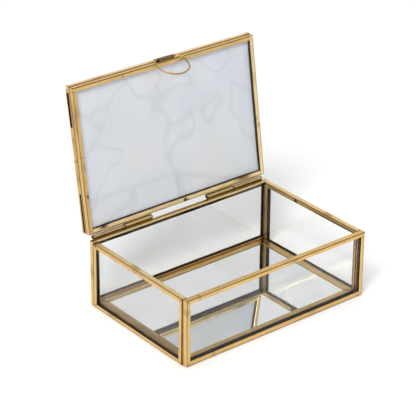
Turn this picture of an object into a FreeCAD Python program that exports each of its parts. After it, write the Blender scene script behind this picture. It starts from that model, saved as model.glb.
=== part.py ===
import FreeCAD, Part
import os, math
from FreeCAD import Vector as V, Placement, Rotation, Matrix

# Rectangular glass box in folded brass channel, with a thick hinged lid that stands open
# and a wire ring pull on the lid's front edge.
# Frame: +Z up, X along the hinge, front of the box towards -Y, origin at the centre of the
# underside of the base. Millimetres.

doc = FreeCAD.newDocument("jewelry_box")

# ---------------------------------------------------------------- driving dimensions
sheet = doc.addObject("Spreadsheet::Sheet", "dims")
CELLS = [
    ("box_width", 200.0),        # outside, along the hinge
    ("box_depth", 136.3),        # outside, front to back
    ("box_height", 63.5),        # outside, without the lid
    ("sheet_thk", 0.5),          # brass sheet that the channels are folded from
    ("fold_radius", 0.8),        # outside radius of a fold
    ("end_thk", 5.0),            # front and back panels, through the channel
    ("side_thk", 4.6),           # left and right panels, through the channel
    ("end_top", 4.1),            # channel leg, front and back top rails
    ("end_bottom", 5.2),         # channel leg, front and back bottom rails
    ("end_stile", 4.0),          # channel leg, front and back stiles
    ("side_top", 4.7),           # channel leg, side top rails
    ("side_bottom", 3.6),        # channel leg, side bottom rails
    ("side_stile", 4.7),         # channel leg, side stiles
    ("glass_thk", 3.0),          # wall panes
    ("glass_inset", 1.1),        # pane edge back from the channel's outer edge
    ("base_sheet_thk", 0.6),
    ("mirror_thk", 2.5),
    ("mirror_gap", 0.3),         # mirror edge back from the walls
    ("ledge_width", 6.5),        # flat strips that hold the mirror down
    ("ledge_thk", 0.6),
    ("lid_depth", 133.5),        # inner frame, back edge to front edge
    ("lid_leg", 4.2),            # channel leg on the lid
    ("lid_inner_thk", 4.4),
    ("lid_outer_thk", 4.6),
    ("lid_lip", 1.0),            # outer frame stands this far past the inner one at the front
    ("lid_glass_thk", 2.2),
    ("lid_bead_thk", 0.4),
    ("art_sheet_thk", 0.4),
    ("slot_low", 0.8),           # open slots in the outer frame's left web: start and end
    ("slot_low_end", 36.5),
    ("slot_high", 97.0),
    ("slot_high_end", 129.4),
    ("slot_low_top", 2.5),       # the low slot lies towards the inner frame, the high one away from it
    ("slot_high_foot", 1.9),
    ("lid_open", 98.73),         # degrees from closed, at rest
    ("lid_rest_gap", 0.3),       # closed lid's inner face above the rim
    ("hinge_back", 0.906),       # hinge axis behind the box's back face
    ("hinge_rise", 1.483),       # hinge axis above the rim
    ("lid_back_edge", 66.0),     # closed lid's back edge, from the middle of the box
    ("knuckle_rad", 1.6),
    ("knuckle_bore", 1.1),       # bore radius, lid knuckles
    ("knuckle_grip", 1.06),      # bore radius, box knuckles
    ("hinge_pin_rad", 1.05),
    ("knuckle_inner", 31.0),     # ends of the knuckles, from the middle of the hinge
    ("knuckle_split", 62.0),
    ("knuckle_outer", 96.5),
    ("knuckle_gap", 0.2),        # half the gap between two knuckles
    ("leaf_thk", 0.6),
    ("flange_clear", 1.55),      # hinge axis to the edge of the lid leaf beside the box knuckle
    ("pull_off", 1.5),           # ring pull, sideways from the middle of the lid
    ("pull_lift", 1.95),         # ring axis in front of the inner frame's front edge
    ("pull_depth", 2.3),         # ring axis above the lid's inner face
    ("pull_droop", 22.9),        # degrees past square to the lid, at rest
    ("ring_radius", 15.2),       # to the middle of the wire
    ("ring_centre", 10.6),       # centre of the ring from its axis
    ("ring_bend", 2.5),          # bend between the straight and the ring
    ("wire_rad", 0.68),
    ("strap_rad", 1.65),
    ("strap_bore", 0.73),
    ("strap_length", 17.0),
]
val = {}
for i, (alias, number) in enumerate(CELLS):
    sheet.set("A%d" % (i + 1), alias)
    sheet.set("B%d" % (i + 1), repr(number))
    sheet.setAlias("B%d" % (i + 1), alias)
    val[alias] = number
doc.recompute()
val = {alias: float(sheet.get(alias)) for alias, _ in CELLS}

W, D, H = val["box_width"], val["box_depth"], val["box_height"]
T = val["sheet_thk"]
Y1 = D / 2 - val["end_thk"]          # side panels run between the end panels
NODES = []                           # finished sub-parts, in order


def bind(obj, **exprs):
    for prop, e in exprs.items():
        obj.setExpression(prop, e)


def done(obj, label, placement=None):
    obj.Label = label
    if placement is not None:
        obj.Placement = placement
    NODES.append(obj)
    return obj


def frame_at(origin, ydir, zdir):
    """Placement whose local Y and Z run along the given directions."""
    y, z = V(*ydir), V(*zdir)
    x = y.cross(z)
    return Placement(Matrix(x.x, y.x, z.x, origin[0],
                            x.y, y.y, z.y, origin[1],
                            x.z, y.z, z.z, origin[2],
                            0, 0, 0, 1))


pending_folds = []


def channel(label, length, leg, thick, start, end, placement, slots=None):
    """A folded U channel. Local X runs along it, Y from its outer edge towards the pane, Z through
    the panel. start and end are (kind, neighbour's leg): a mitre, a square end that runs the full
    length and is folded shut, or a square end that stops short at the neighbour. All sizes are
    expressions on the sheet."""
    out, ins, cut = {}, {}, {}
    for key, (kind, other) in (("a", start), ("b", end)):
        out[key] = other if kind == "short" else "0"
        ins[key] = "0" if kind == "full" else other
        cut[key] = "dims.sheet_thk" if kind == "full" else "-10"
    blank = doc.addObject("Part::Wedge", label + "_blank")
    bind(blank, Ymin="0 mm", Zmin="0 mm", Z2min="0 mm", Xmin=out["a"], X2min=ins["a"],
         Ymax=leg, Zmax=thick, Z2max=thick,
         Xmax="(%s) - %s" % (length, out["b"]), X2max="(%s) - %s" % (length, ins["b"]))
    groove = doc.addObject("Part::Box", label + "_groove")
    bind(groove, Length="(%s) - (%s) - (%s)" % (length, cut["a"], cut["b"]), Width="%s + 1" % leg,
         Height="%s - 2 * dims.sheet_thk" % thick)
    bind(groove, **{"Placement.Base.x": cut["a"], "Placement.Base.y": "dims.sheet_thk",
                    "Placement.Base.z": "dims.sheet_thk"})
    bar = doc.addObject("Part::Cut", label + "_bar")
    bar.Base, bar.Tool = blank, groove
    pending_folds.append((bar, label, placement, slots))


def fold_all():
    """Round the two outside folds of every channel, then cut any slots in its web."""
    doc.recompute()
    for bar, label, placement, slots in pending_folds:
        r = val["fold_radius"]
        picks = []
        zmax = bar.Shape.BoundBox.ZMax
        for i, e in enumerate(bar.Shape.Edges, 1):
            b = e.BoundBox
            if b.YMax < 1e-4 and b.ZMax - b.ZMin < 1e-4 and b.XMax - b.XMin > 20 and \
               (b.ZMin < 1e-4 or b.ZMin > zmax - 1e-4):
                picks.append((i, r, r))
        assert len(picks) == 2, (label, picks)
        fold = doc.addObject("Part::Fillet", label + "_fold")
        fold.Base = bar
        fold.Edges = picks
        if not slots:
            done(fold, label, placement)
            continue
        cutters = []
        for k, (a, b, z0, z1) in enumerate(slots):
            c = doc.addObject("Part::Box", "%s_slot_%d" % (label, k))
            bind(c, Length="%s - %s" % (b, a), Width="2 * dims.sheet_thk + 1",
                 Height="%s - %s" % (z1, z0))
            bind(c, **{"Placement.Base.x": a, "Placement.Base.y": "-1 mm",
                       "Placement.Base.z": z0})
            cutters.append(c)
        both = doc.addObject("Part::MultiFuse", label + "_slots")
        both.Shapes = cutters
        web = doc.addObject("Part::Cut", label + "_web")
        web.Base, web.Tool = fold, both
        done(web, label, placement)
    del pending_folds[:]
    doc.recompute()


def block(label, lx, ly, lz, placement):
    b = doc.addObject("Part::Box", label)
    bind(b, Length=lx, Width=ly, Height=lz)
    return done(b, label, placement)


def bead_ring(name, lx, ly, open_x, open_y, off_x, off_y, thick, level):
    """A flat rectangular ring of glazing cement, in a panel's local frame."""
    a = doc.addObject("Part::Box", name + "_body")
    bind(a, Length=lx, Width=ly, Height=thick)
    b = doc.addObject("Part::Box", name + "_open")
    bind(b, Length=open_x, Width=open_y, Height="%s + 2" % thick)
    bind(b, **{"Placement.Base.x": off_x, "Placement.Base.y": off_y, "Placement.Base.z": "-1 mm"})
    c = doc.addObject("Part::Cut", name)
    c.Base, c.Tool = a, b
    c.setExpression("Placement.Base.z", level)
    return c


# ---------------------------------------------------------------- four glazed walls
EX = dict(L="dims.box_width", hi="dims.end_top", lo="dims.end_bottom", st="dims.end_stile",
          th="dims.end_thk")
SX = dict(L="dims.box_depth - 2 * dims.end_thk", hi="dims.side_top", lo="dims.side_bottom",
          st="dims.side_stile", th="dims.side_thk")
HT = "dims.box_height"
X2 = W / 2

# rails and stiles: label, expressions, which strip, origin, local Y, local Z
WALLS = [
    ("front", EX, [("bottom_rail", (X2, -D / 2, 0), (0, 0, 1)),
                   ("top_rail", (-X2, -D / 2, H), (0, 0, -1)),
                   ("left_stile", (-X2, -D / 2, 0), (1, 0, 0)),
                   ("right_stile", (X2, -D / 2, H), (-1, 0, 0))], (0, 1, 0)),
    ("back", EX, [("bottom_rail", (-X2, D / 2, 0), (0, 0, 1)),
                  ("top_rail", (X2, D / 2, H), (0, 0, -1)),
                  ("left_stile", (-X2, D / 2, H), (1, 0, 0)),
                  ("right_stile", (X2, D / 2, 0), (-1, 0, 0))], (0, -1, 0)),
    ("left", SX, [("bottom_rail", (-X2, -Y1, 0), (0, 0, 1)),
                  ("top_rail", (-X2, Y1, H), (0, 0, -1)),
                  ("front_stile", (-X2, -Y1, H), (0, 1, 0)),
                  ("back_stile", (-X2, Y1, 0), (0, -1, 0))], (1, 0, 0)),
    ("right", SX, [("bottom_rail", (X2, Y1, 0), (0, 0, 1)),
                   ("top_rail", (X2, -Y1, H), (0, 0, -1)),
                   ("front_stile", (X2, -Y1, 0), (0, 1, 0)),
                   ("back_stile", (X2, Y1, H), (0, -1, 0))], (-1, 0, 0)),
]
# the front's right-hand corners are square: the top rail runs over the stile, which runs down past
# the bottom rail
SQUARE = {"front_top_rail": ("mitre", "full"), "front_right_stile": ("short", "full"),
          "front_bottom_rail": ("short", "mitre")}
for wall, ex, strips, zdir in WALLS:
    for part, origin, ydir in strips:
        pl = frame_at(origin, ydir, zdir)
        name = wall + "_" + part
        k0, k1 = SQUARE.get(name, ("mitre", "mitre"))
        if part == "bottom_rail":
            channel(name, ex["L"], ex["lo"], ex["th"], (k0, ex["st"]), (k1, ex["st"]), pl)
        elif part == "top_rail":
            channel(name, ex["L"], ex["hi"], ex["th"], (k0, ex["st"]), (k1, ex["st"]), pl)
        else:
            # a stile's ends follow the rails that it meets, bottom or top first
            upward = V(*ydir).cross(V(*zdir)).z > 0
            m0, m1 = (ex["lo"], ex["hi"]) if upward else (ex["hi"], ex["lo"])
            channel(name, HT, ex["st"], ex["th"], (k0, m0), (k1, m1), pl)
fold_all()

# panes and their cement: local X along the wall, local Y up, local Z through the wall
PANES = [
    ("front", EX, (X2, -D / 2, 0), (0, 1, 0)),
    ("back", EX, (-X2, D / 2, 0), (0, -1, 0)),
    ("left", SX, (-X2, -Y1, 0), (1, 0, 0)),
    ("right", SX, (X2, Y1, 0), (-1, 0, 0)),
]
for wall, ex, origin, zdir in PANES:
    base = frame_at(origin, (0, 0, 1), zdir)
    inset = val["glass_inset"]
    thick = val["end_thk"] if ex is EX else val["side_thk"]
    seat = (thick - val["glass_thk"]) / 2
    inner = base.multiply(Placement(V(inset, inset, seat), Rotation()))
    lx = "(%s) - 2 * dims.glass_inset" % ex["L"]
    ly = "%s - 2 * dims.glass_inset" % HT
    block(wall + "_glass", lx, ly, "dims.glass_thk", inner)
    bt = "((%s - dims.glass_thk) / 2 - dims.sheet_thk)" % ex["th"]
    rings = []
    for k, level in ((0, "0 - %s" % bt), (1, "dims.glass_thk")):
        rings.append(bead_ring("%s_bead_%d" % (wall, k), lx, ly,
                               "(%s) - 2 * %s" % (ex["L"], ex["st"]),
                               "%s - %s - %s" % (HT, ex["lo"], ex["hi"]),
                               "%s - dims.glass_inset" % ex["st"],
                               "%s - dims.glass_inset" % ex["lo"], bt, level))
    pair = doc.addObject("Part::Compound", wall + "_cement_pair")
    pair.Links = rings
    done(pair, wall + "_glazing_cement", inner)

# ---------------------------------------------------------------- base
XB = W / 2 - val["side_thk"]         # inside faces of the walls
bl, bw = "dims.box_width - 2 * dims.side_thk", "dims.box_depth - 2 * dims.end_thk"
block("base_sheet", bl, bw, "dims.base_sheet_thk", Placement(V(-XB, -Y1, 0), Rotation()))
gap = val["mirror_gap"]
block("base_mirror", bl + " - 2 * dims.mirror_gap", bw + " - 2 * dims.mirror_gap", "dims.mirror_thk",
      Placement(V(-XB + gap, -Y1 + gap, val["base_sheet_thk"]), Rotation()))
zl = val["base_sheet_thk"] + val["mirror_thk"]
for side, length, origin, ydir in (
        ("front", bl, (-XB, -Y1, zl), (0, 1, 0)), ("back", bl, (XB, Y1, zl), (0, -1, 0)),
        ("left", bw, (-XB, Y1, zl), (1, 0, 0)), ("right", bw, (XB, -Y1, zl), (-1, 0, 0))):
    s = doc.addObject("Part::Wedge", "base_ledge_" + side)
    bind(s, Xmin="0 mm", Ymin="0 mm", Zmin="0 mm", Z2min="0 mm", X2min="dims.ledge_width",
         Xmax=length, Ymax="dims.ledge_width", Zmax="dims.ledge_thk", Z2max="dims.ledge_thk",
         X2max="(%s) - dims.ledge_width" % length)
    done(s, "base_ledge_" + side, frame_at(origin, ydir, (0, 0, 1)))

# ---------------------------------------------------------------- lid, drawn closed about the hinge axis
HY, HZ = D / 2 + val["hinge_back"], H + val["hinge_rise"]
LID = Placement(V(0, HY, HZ), Rotation(V(1, 0, 0), -val["lid_open"]))
ZI = val["lid_rest_gap"] - val["hinge_rise"]         # lid's inner face
YB = val["lid_back_edge"] - HY                       # lid's back edge
YF = YB - val["lid_depth"]                           # inner frame's front edge
YO = YF - val["lid_lip"]                             # outer frame's front edge
ZM = ZI + val["lid_inner_thk"]                       # where the two frames meet
ZT = ZM + val["lid_outer_thk"]                       # lid's outer face

leg = "dims.lid_leg"
LEVELS = [("inner", "dims.lid_inner_thk", "dims.lid_depth", ZI, YF),
          ("outer", "dims.lid_outer_thk", "dims.lid_depth + dims.lid_lip", ZM, YO)]
for layer, th, depth, z0, yf in LEVELS:
    up = (0, 0, 1)
    for side, length, origin, ydir in (
            ("back", "dims.box_width", (X2, YB, z0), (0, -1, 0)),
            ("front", "dims.box_width", (-X2, yf, z0), (0, 1, 0)),
            ("left", depth, (-X2, YB, z0), (1, 0, 0)),
            ("right", depth, (X2, yf, z0), (-1, 0, 0))):
        k0, k1 = {"back": ("short", "short"), "front": ("full", "short"),
                  "left": ("full", "short"), "right": ("full", "full")}[side]
        slots = None
        if layer == "outer" and side == "left":
            slots = [("dims.slot_low", "dims.slot_low_end", "dims.fold_radius", "dims.slot_low_top"),
                     ("dims.slot_high", "dims.slot_high_end", "dims.slot_high_foot",
                      "dims.lid_outer_thk - dims.fold_radius")]
        channel("lid_%s_%s" % (layer, side), length, leg, th, (k0, leg), (k1, leg),
                LID.multiply(frame_at(origin, ydir, up)), slots)
fold_all()

ins = val["glass_inset"]
lx = "dims.box_width - 2 * dims.glass_inset"
for layer, th, depth, z0, yf in LEVELS:
    ly = "%s - 2 * dims.glass_inset" % depth
    corner = (-X2 + ins, yf + ins)
    ox, oy = "dims.box_width - 2 * dims.lid_leg", "%s - 2 * dims.lid_leg" % depth
    off = "dims.lid_leg - dims.glass_inset"
    bead = val["lid_bead_thk"]
    g = val["lid_glass_thk"]
    if layer == "inner":
        zg = z0 + T + bead
        block("lid_inner_glass", lx, ly, "dims.lid_glass_thk",
              LID.multiply(Placement(V(corner[0], corner[1], zg), Rotation())))
        block("lid_art_sheet", lx, ly, "dims.art_sheet_thk",
              LID.multiply(Placement(V(corner[0], corner[1], zg + g), Rotation())))
        levels = [(0, "0 - dims.lid_bead_thk"), (1, "dims.lid_glass_thk + dims.art_sheet_thk")]
    else:
        zg = z0 + val["lid_outer_thk"] - T - bead - g
        block("lid_outer_glass", lx, ly, "dims.lid_glass_thk",
              LID.multiply(Placement(V(corner[0], corner[1], zg), Rotation())))
        levels = [(0, "0 - dims.lid_bead_thk"), (1, "dims.lid_glass_thk")]
    rings = [bead_ring("lid_%s_bead_%d" % (layer, k), lx, ly, ox, oy, off, off,
                       "dims.lid_bead_thk", level) for k, level in levels]
    pair = doc.addObject("Part::Compound", "lid_%s_cement_pair" % layer)
    pair.Links = rings
    done(pair, "lid_%s_glazing_cement" % layer,
         LID.multiply(Placement(V(corner[0], corner[1], zg), Rotation())))

# ---------------------------------------------------------------- hinges: two pairs of knuckles on wire pins
ALONG_X = Rotation(V(0, 1, 0), 90)


def cyl(name, rad, length, start):
    """A cylinder along X about the hinge axis, from x = start."""
    c = doc.addObject("Part::Cylinder", name)
    bind(c, Radius=rad, Height=length)
    c.Placement = Placement(V(start, 0, 0), ALONG_X)
    return c


def slab(name, lx, x0, y0, y1, z0, z1):
    b = doc.addObject("Part::Box", name)
    bind(b, Length=lx)
    b.Width, b.Height = y1 - y0, z1 - z0
    b.Placement = Placement(V(x0, y0, z0), Rotation())
    return b


r_k, leaf = val["knuckle_rad"], val["leaf_thk"]
kg = val["knuckle_gap"]
for side, sgn in (("left", -1), ("right", 1)):
    # box knuckle: tube on a leaf that lies on the back wall's top rail
    a, b = val["knuckle_split"] + kg, val["knuckle_outer"]
    x0 = a if sgn > 0 else -b
    ln = "dims.knuckle_outer - dims.knuckle_split - dims.knuckle_gap"
    tube = cyl("box_knuckle_%s_tube" % side, "dims.knuckle_rad", ln, x0)
    back = -val["hinge_back"]
    plate = slab("box_knuckle_%s_leaf" % side, ln, x0, back, back + leaf, -val["hinge_rise"] - 3.6, -0.9)
    whole = doc.addObject("Part::MultiFuse", "box_knuckle_%s_whole" % side)
    whole.Shapes = [tube, plate]
    bore = cyl("box_knuckle_%s_bore" % side, "dims.knuckle_grip", ln + " + 2", x0 - 1)
    k = doc.addObject("Part::Cut", "box_knuckle_%s" % side)
    k.Base, k.Tool = whole, bore
    done(k, "box_knuckle_%s" % side, Placement(V(0, HY, HZ), Rotation()))

    # lid knuckle: tube, web and leaf on the lid's back edge, and a heel that meets the
    # back wall when the lid is open
    a, b = val["knuckle_inner"], val["knuckle_split"] - kg
    x0 = a if sgn > 0 else -b
    ln = "dims.knuckle_split - dims.knuckle_gap - dims.knuckle_inner"
    tube = cyl("lid_knuckle_%s_tube" % side, "dims.knuckle_rad", ln, x0)
    web = slab("lid_knuckle_%s_web" % side, ln, x0, YB, 0.0, r_k - leaf, r_k)
    plate = slab("lid_knuckle_%s_leaf" % side, ln, x0, YB, YB + leaf, ZI + 0.9, ZI + 7.2)
    heel = doc.addObject("Part::Box", "lid_knuckle_%s_heel" % side)
    bind(heel, Length=ln)
    heel.Width, heel.Height = 0.7, 2.6
    # drawn hanging beside the back wall in the open pose, then turned with the lid
    open_pos = Placement(V(x0, -val["hinge_back"] + 0.06, -r_k - 2.0), Rotation())
    heel.Placement = Placement(V(0, 0, 0), Rotation(V(1, 0, 0), val["lid_open"])).multiply(open_pos)
    # the leaf runs on past the box knuckle, clear of its tube
    fx = val["knuckle_split"] - 1 if sgn > 0 else -val["knuckle_outer"]
    fl = "dims.knuckle_outer - dims.knuckle_split + 1"
    flange = slab("lid_knuckle_%s_flange" % side, fl, fx, YB, -val["flange_clear"], r_k - leaf, r_k)
    tail = slab("lid_knuckle_%s_tail" % side, fl, fx, YB, YB + leaf, ZI + 0.9, ZI + 7.2)
    whole = doc.addObject("Part::MultiFuse", "lid_knuckle_%s_whole" % side)
    whole.Shapes = [tube, web, plate, heel, flange, tail]
    bore = cyl("lid_knuckle_%s_bore" % side, "dims.knuckle_bore", ln + " + 2", x0 - 1)
    k = doc.addObject("Part::Cut", "lid_knuckle_%s" % side)
    k.Base, k.Tool = whole, bore
    done(k, "lid_knuckle_%s" % side, LID)

    # pin: stops short of both ends of its two tubes
    ln = "dims.knuckle_outer - dims.knuckle_inner - 7"
    x0 = val["knuckle_inner"] + 4.0 if sgn > 0 else -val["knuckle_outer"] + 3.0
    p = cyl("hinge_pin_%s" % side, "dims.hinge_pin_rad", ln, 0)
    done(p, "hinge_pin_%s" % side, Placement(V(x0, HY, HZ), ALONG_X))

# ---------------------------------------------------------------- ring pull on the lid's front edge
PY, PZ = YF - val["pull_lift"], ZI + val["pull_depth"]
PULL = LID.multiply(Placement(V(val["pull_off"], PY, PZ), Rotation()))
sl = val["strap_length"]

# strap: a sheet folded over the wire, with a wing on each of the lid's two front edges
hump = cyl("pull_strap_hump", "dims.strap_rad", "dims.strap_length", -sl / 2)
foot = slab("pull_strap_foot", "dims.strap_length", -sl / 2, 0.0, YF - PY, -1.5, ZM - PZ - 0.02)
wing = slab("pull_strap_wing", "dims.strap_length", -sl / 2, YO - PY - 0.6, YO - PY, 0.4, ZT - PZ - 0.9)
whole = doc.addObject("Part::MultiFuse", "pull_strap_whole")
whole.Shapes = [hump, foot, wing]
bore = cyl("pull_strap_bore", "dims.strap_bore", "dims.strap_length + 2", -sl / 2 - 1)
strap = doc.addObject("Part::Cut", "pull_strap_cut")
strap.Base, strap.Tool = whole, bore
done(strap, "pull_strap", PULL)

# ring: one wire, a straight through the strap, two bends and the rest of a circle
R, C, B = val["ring_radius"], val["ring_centre"], val["ring_bend"]
bx = math.sqrt((R - B) ** 2 - (C - B) ** 2)
ux, uy = bx / (R - B), (B - C) / (R - B)                 # centre of ring to centre of bend
tx, ty = R * ux, C + R * uy                              # where the bend meets the ring
mid = math.atan2(ty - B, tx - bx)
ma = (mid - math.pi / 2) / 2                             # half way round the bend
mx, my = bx + B * math.cos(ma), B + B * math.sin(ma)
P = lambda x, y: V(x, y, 0)
path = doc.addObject("Part::Feature", "ring_pull_path")
path.Shape = Part.Wire([
    Part.LineSegment(P(-bx, 0), P(bx, 0)).toShape(),
    Part.Arc(P(bx, 0), P(mx, my), P(tx, ty)).toShape(),
    Part.Arc(P(tx, ty), P(0, C + R), P(-tx, ty)).toShape(),
    Part.Arc(P(-tx, ty), P(-mx, my), P(-bx, 0)).toShape(),
])
section = doc.addObject("Part::Circle", "ring_pull_section")
section.setExpression("Radius", "dims.wire_rad")
section.Placement = Placement(V(-bx, 0, 0), ALONG_X)
ring = doc.addObject("Part::Sweep", "ring_pull_sweep")
ring.Sections = [section]
ring.Spine = (path, ["Edge1", "Edge2", "Edge3", "Edge4"])
ring.Solid, ring.Frenet = True, False
ring.Transition = "Right corner"
# local Y of the ring is the way it hangs: square to the lid (closed: downwards), then drooped
hang = Placement(V(0, 0, 0), Rotation(V(1, 0, 0), -90 + val["pull_droop"]))
done(ring, "ring_pull", PULL.multiply(hang))

# ---------------------------------------------------------------- checks and files
doc.recompute()
bad = [o.Name for o in doc.Objects if "Invalid" in o.State or "Error" in o.State]
assert not bad, bad
labels = [o.Label for o in NODES]
assert len(set(labels)) == len(labels) and len(labels) <= 60, len(labels)
for o in NODES:
    assert not o.Shape.isNull() and o.Shape.isValid() and o.Shape.Solids, o.Label
    assert all(s.Volume > 0 for s in o.Shape.Solids), o.Label
wire_length = 2 * bx + 2 * B * (mid + math.pi / 2) + R * (2 * math.pi - 2 * (math.pi / 2 + math.atan2(uy, ux)))
print("ring volume", round(ring.Shape.Volume, 2), "section x length",
      round(math.pi * val["wire_rad"] ** 2 * wire_length, 2))

os.makedirs("parts", exist_ok=True)
for o in NODES:
    o.Shape.exportStep("parts/%s.step" % o.Label)
print(len(NODES), "nodes")
print("hinge axis y %.4f z %.4f" % (HY, HZ))
pv = PULL.Base
print("pull axis x %.4f y %.4f z %.4f" % (pv.x, pv.y, pv.z))
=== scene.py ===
import math, random
import bpy, bmesh
from mathutils import Matrix, Vector


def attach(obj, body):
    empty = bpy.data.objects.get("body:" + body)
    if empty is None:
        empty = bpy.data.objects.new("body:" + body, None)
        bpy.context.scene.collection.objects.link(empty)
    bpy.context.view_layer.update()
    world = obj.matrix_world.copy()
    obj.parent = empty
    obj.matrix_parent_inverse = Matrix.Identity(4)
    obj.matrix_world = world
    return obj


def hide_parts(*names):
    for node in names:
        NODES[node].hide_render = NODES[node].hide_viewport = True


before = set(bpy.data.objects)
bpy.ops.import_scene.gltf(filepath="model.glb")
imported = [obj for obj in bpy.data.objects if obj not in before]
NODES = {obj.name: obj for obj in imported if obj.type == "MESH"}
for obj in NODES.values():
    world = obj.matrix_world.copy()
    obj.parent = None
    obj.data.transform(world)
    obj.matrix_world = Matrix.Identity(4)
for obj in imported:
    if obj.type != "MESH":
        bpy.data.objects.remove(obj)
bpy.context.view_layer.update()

MM = 0.001

# ------------------------------------------------------------------ sizes (mm), as in the CAD frame
W, D, H = 200.0, 136.3, 63.5
T, R = 0.5, 0.8
Y1 = D / 2 - 5.0
X2 = W / 2
HY, HZ = 69.056, 64.983
ZI, ZM, ZT = -1.183, 3.217, 7.817
YB, YF, YO = -3.056, -136.556, -137.556
LEG = 4.2
LID = Matrix.Translation((0, HY, HZ)) @ Matrix.Rotation(math.radians(-98.73), 4, "X")
PULL = LID @ Matrix.Translation((1.5, YF - 1.95, ZI + 2.3))
SCALE = Matrix.Scale(MM, 4)


def frame_at(o, y, z):
    y, z = Vector(y), Vector(z)
    x = y.cross(z)
    return Matrix(((x.x, y.x, z.x, o[0]), (x.y, y.y, z.y, o[1]), (x.z, y.z, z.z, o[2]), (0, 0, 0, 1)))


# ------------------------------------------------------------------ materials
def nodes_of(name):
    m = bpy.data.materials.new(name)
    m.use_nodes = True
    nt = m.node_tree
    p = next(n for n in nt.nodes if n.type == "BSDF_PRINCIPLED")
    return m, nt, p


def link(nt, a, b):
    nt.links.new(a, b)


def ramp(nt, stops):
    r = nt.nodes.new("ShaderNodeValToRGB")
    e = r.color_ramp.elements
    while len(e) > 1:
        e.remove(e[0])
    e[0].position, e[0].color = stops[0][0], (*stops[0][1], 1)
    for pos, col in stops[1:]:
        k = e.new(pos)
        k.color = (*col, 1)
    return r


def noise(nt, vec, scale, detail=3.0, rough=0.55):
    n = nt.nodes.new("ShaderNodeTexNoise")
    n.inputs["Scale"].default_value = scale
    n.inputs["Detail"].default_value = detail
    n.inputs["Roughness"].default_value = rough
    if vec is not None:
        link(nt, vec, n.inputs["Vector"])
    return n


def grey(v):
    return (v, v, v)


def brass(name, light, mid, deep, rough=(0.24, 0.40), dark=(0.055, 0.036, 0.018), metal=1.0, pale=(0.95, 0.78, 0.43)):
    """Drawn brass sheet: streaks along the strip, a slow change of tone, and brown darkening by the
    'tarnish_shade_and_highlight' attribute, which holds real patina and painted shade; below zero the attribute paints
    a pale highlight."""
    m, nt, p = nodes_of(name)
    at = nt.nodes.new("ShaderNodeAttribute")
    at.attribute_name = "strip"
    mp = nt.nodes.new("ShaderNodeMapping")
    mp.inputs["Scale"].default_value = (70.0, 5200.0, 1.0)
    link(nt, at.outputs["Vector"], mp.inputs["Vector"])
    streak = noise(nt, mp.outputs["Vector"], 1.0, 4.0, 0.6)
    mp2 = nt.nodes.new("ShaderNodeMapping")
    mp2.inputs["Scale"].default_value = (45.0, 260.0, 1.0)
    link(nt, at.outputs["Vector"], mp2.inputs["Vector"])
    tone = noise(nt, mp2.outputs["Vector"], 1.0, 3.0, 0.5)
    col = ramp(nt, [(0.30, deep), (0.50, mid), (0.72, light)])
    mixf = nt.nodes.new("ShaderNodeMath")
    mixf.operation = "MULTIPLY_ADD"
    mixf.inputs[1].default_value = 0.45
    link(nt, streak.outputs["Fac"], mixf.inputs[0])
    sc = nt.nodes.new("ShaderNodeMath")
    sc.operation = "MULTIPLY"
    sc.inputs[1].default_value = 0.55
    link(nt, tone.outputs["Fac"], sc.inputs[0])
    link(nt, sc.outputs[0], mixf.inputs[2])
    link(nt, mixf.outputs[0], col.inputs["Fac"])
    # darkening from patina and painted shade, broken up so that its edge is ragged
    ta = nt.nodes.new("ShaderNodeAttribute")
    ta.attribute_name = "tarnish_shade_and_highlight"
    mp3 = nt.nodes.new("ShaderNodeMapping")
    mp3.inputs["Scale"].default_value = (230.0, 2300.0, 1.0)
    link(nt, at.outputs["Vector"], mp3.inputs["Vector"])
    rag = noise(nt, mp3.outputs["Vector"], 1.0, 3.0, 0.6)
    add = nt.nodes.new("ShaderNodeMath")
    add.operation = "MULTIPLY_ADD"
    add.inputs[1].default_value = 0.5
    link(nt, rag.outputs["Fac"], add.inputs[0])
    link(nt, ta.outputs["Fac"], add.inputs[2])
    mask = ramp(nt, [(0.36, grey(0.0)), (1.05, grey(1.0))])
    link(nt, add.outputs[0], mask.inputs["Fac"])
    mix = nt.nodes.new("ShaderNodeMix")
    mix.data_type = "RGBA"
    link(nt, mask.outputs["Color"], mix.inputs["Factor"])
    # negative values of the attribute paint a pale highlight over the brass colour
    neg = nt.nodes.new("ShaderNodeMath")
    neg.operation = "MULTIPLY"
    neg.use_clamp = True
    neg.inputs[1].default_value = -1.0
    link(nt, ta.outputs["Fac"], neg.inputs[0])
    pale_highlight_mix = nt.nodes.new("ShaderNodeMix")
    pale_highlight_mix.data_type = "RGBA"
    link(nt, neg.outputs[0], pale_highlight_mix.inputs["Factor"])
    link(nt, col.outputs["Color"], pale_highlight_mix.inputs[6])
    pale_highlight_mix.inputs[7].default_value = (*pale, 1)
    link(nt, pale_highlight_mix.outputs[2], mix.inputs[6])
    mix.inputs[7].default_value = (*dark, 1)
    link(nt, mix.outputs[2], p.inputs["Base Color"])
    p.inputs["Metallic"].default_value = metal
    rr = nt.nodes.new("ShaderNodeMapRange")
    rr.inputs["From Min"].default_value = 0.25
    rr.inputs["From Max"].default_value = 0.75
    rr.inputs["To Min"].default_value = rough[0]
    rr.inputs["To Max"].default_value = rough[1]
    link(nt, streak.outputs["Fac"], rr.inputs["Value"])
    link(nt, rr.outputs["Result"], p.inputs["Roughness"])
    b = nt.nodes.new("ShaderNodeBump")
    b.inputs["Strength"].default_value = 0.16
    b.inputs["Distance"].default_value = 0.00012
    link(nt, streak.outputs["Fac"], b.inputs["Height"])
    link(nt, b.outputs["Normal"], p.inputs["Normal"])
    return m


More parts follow.
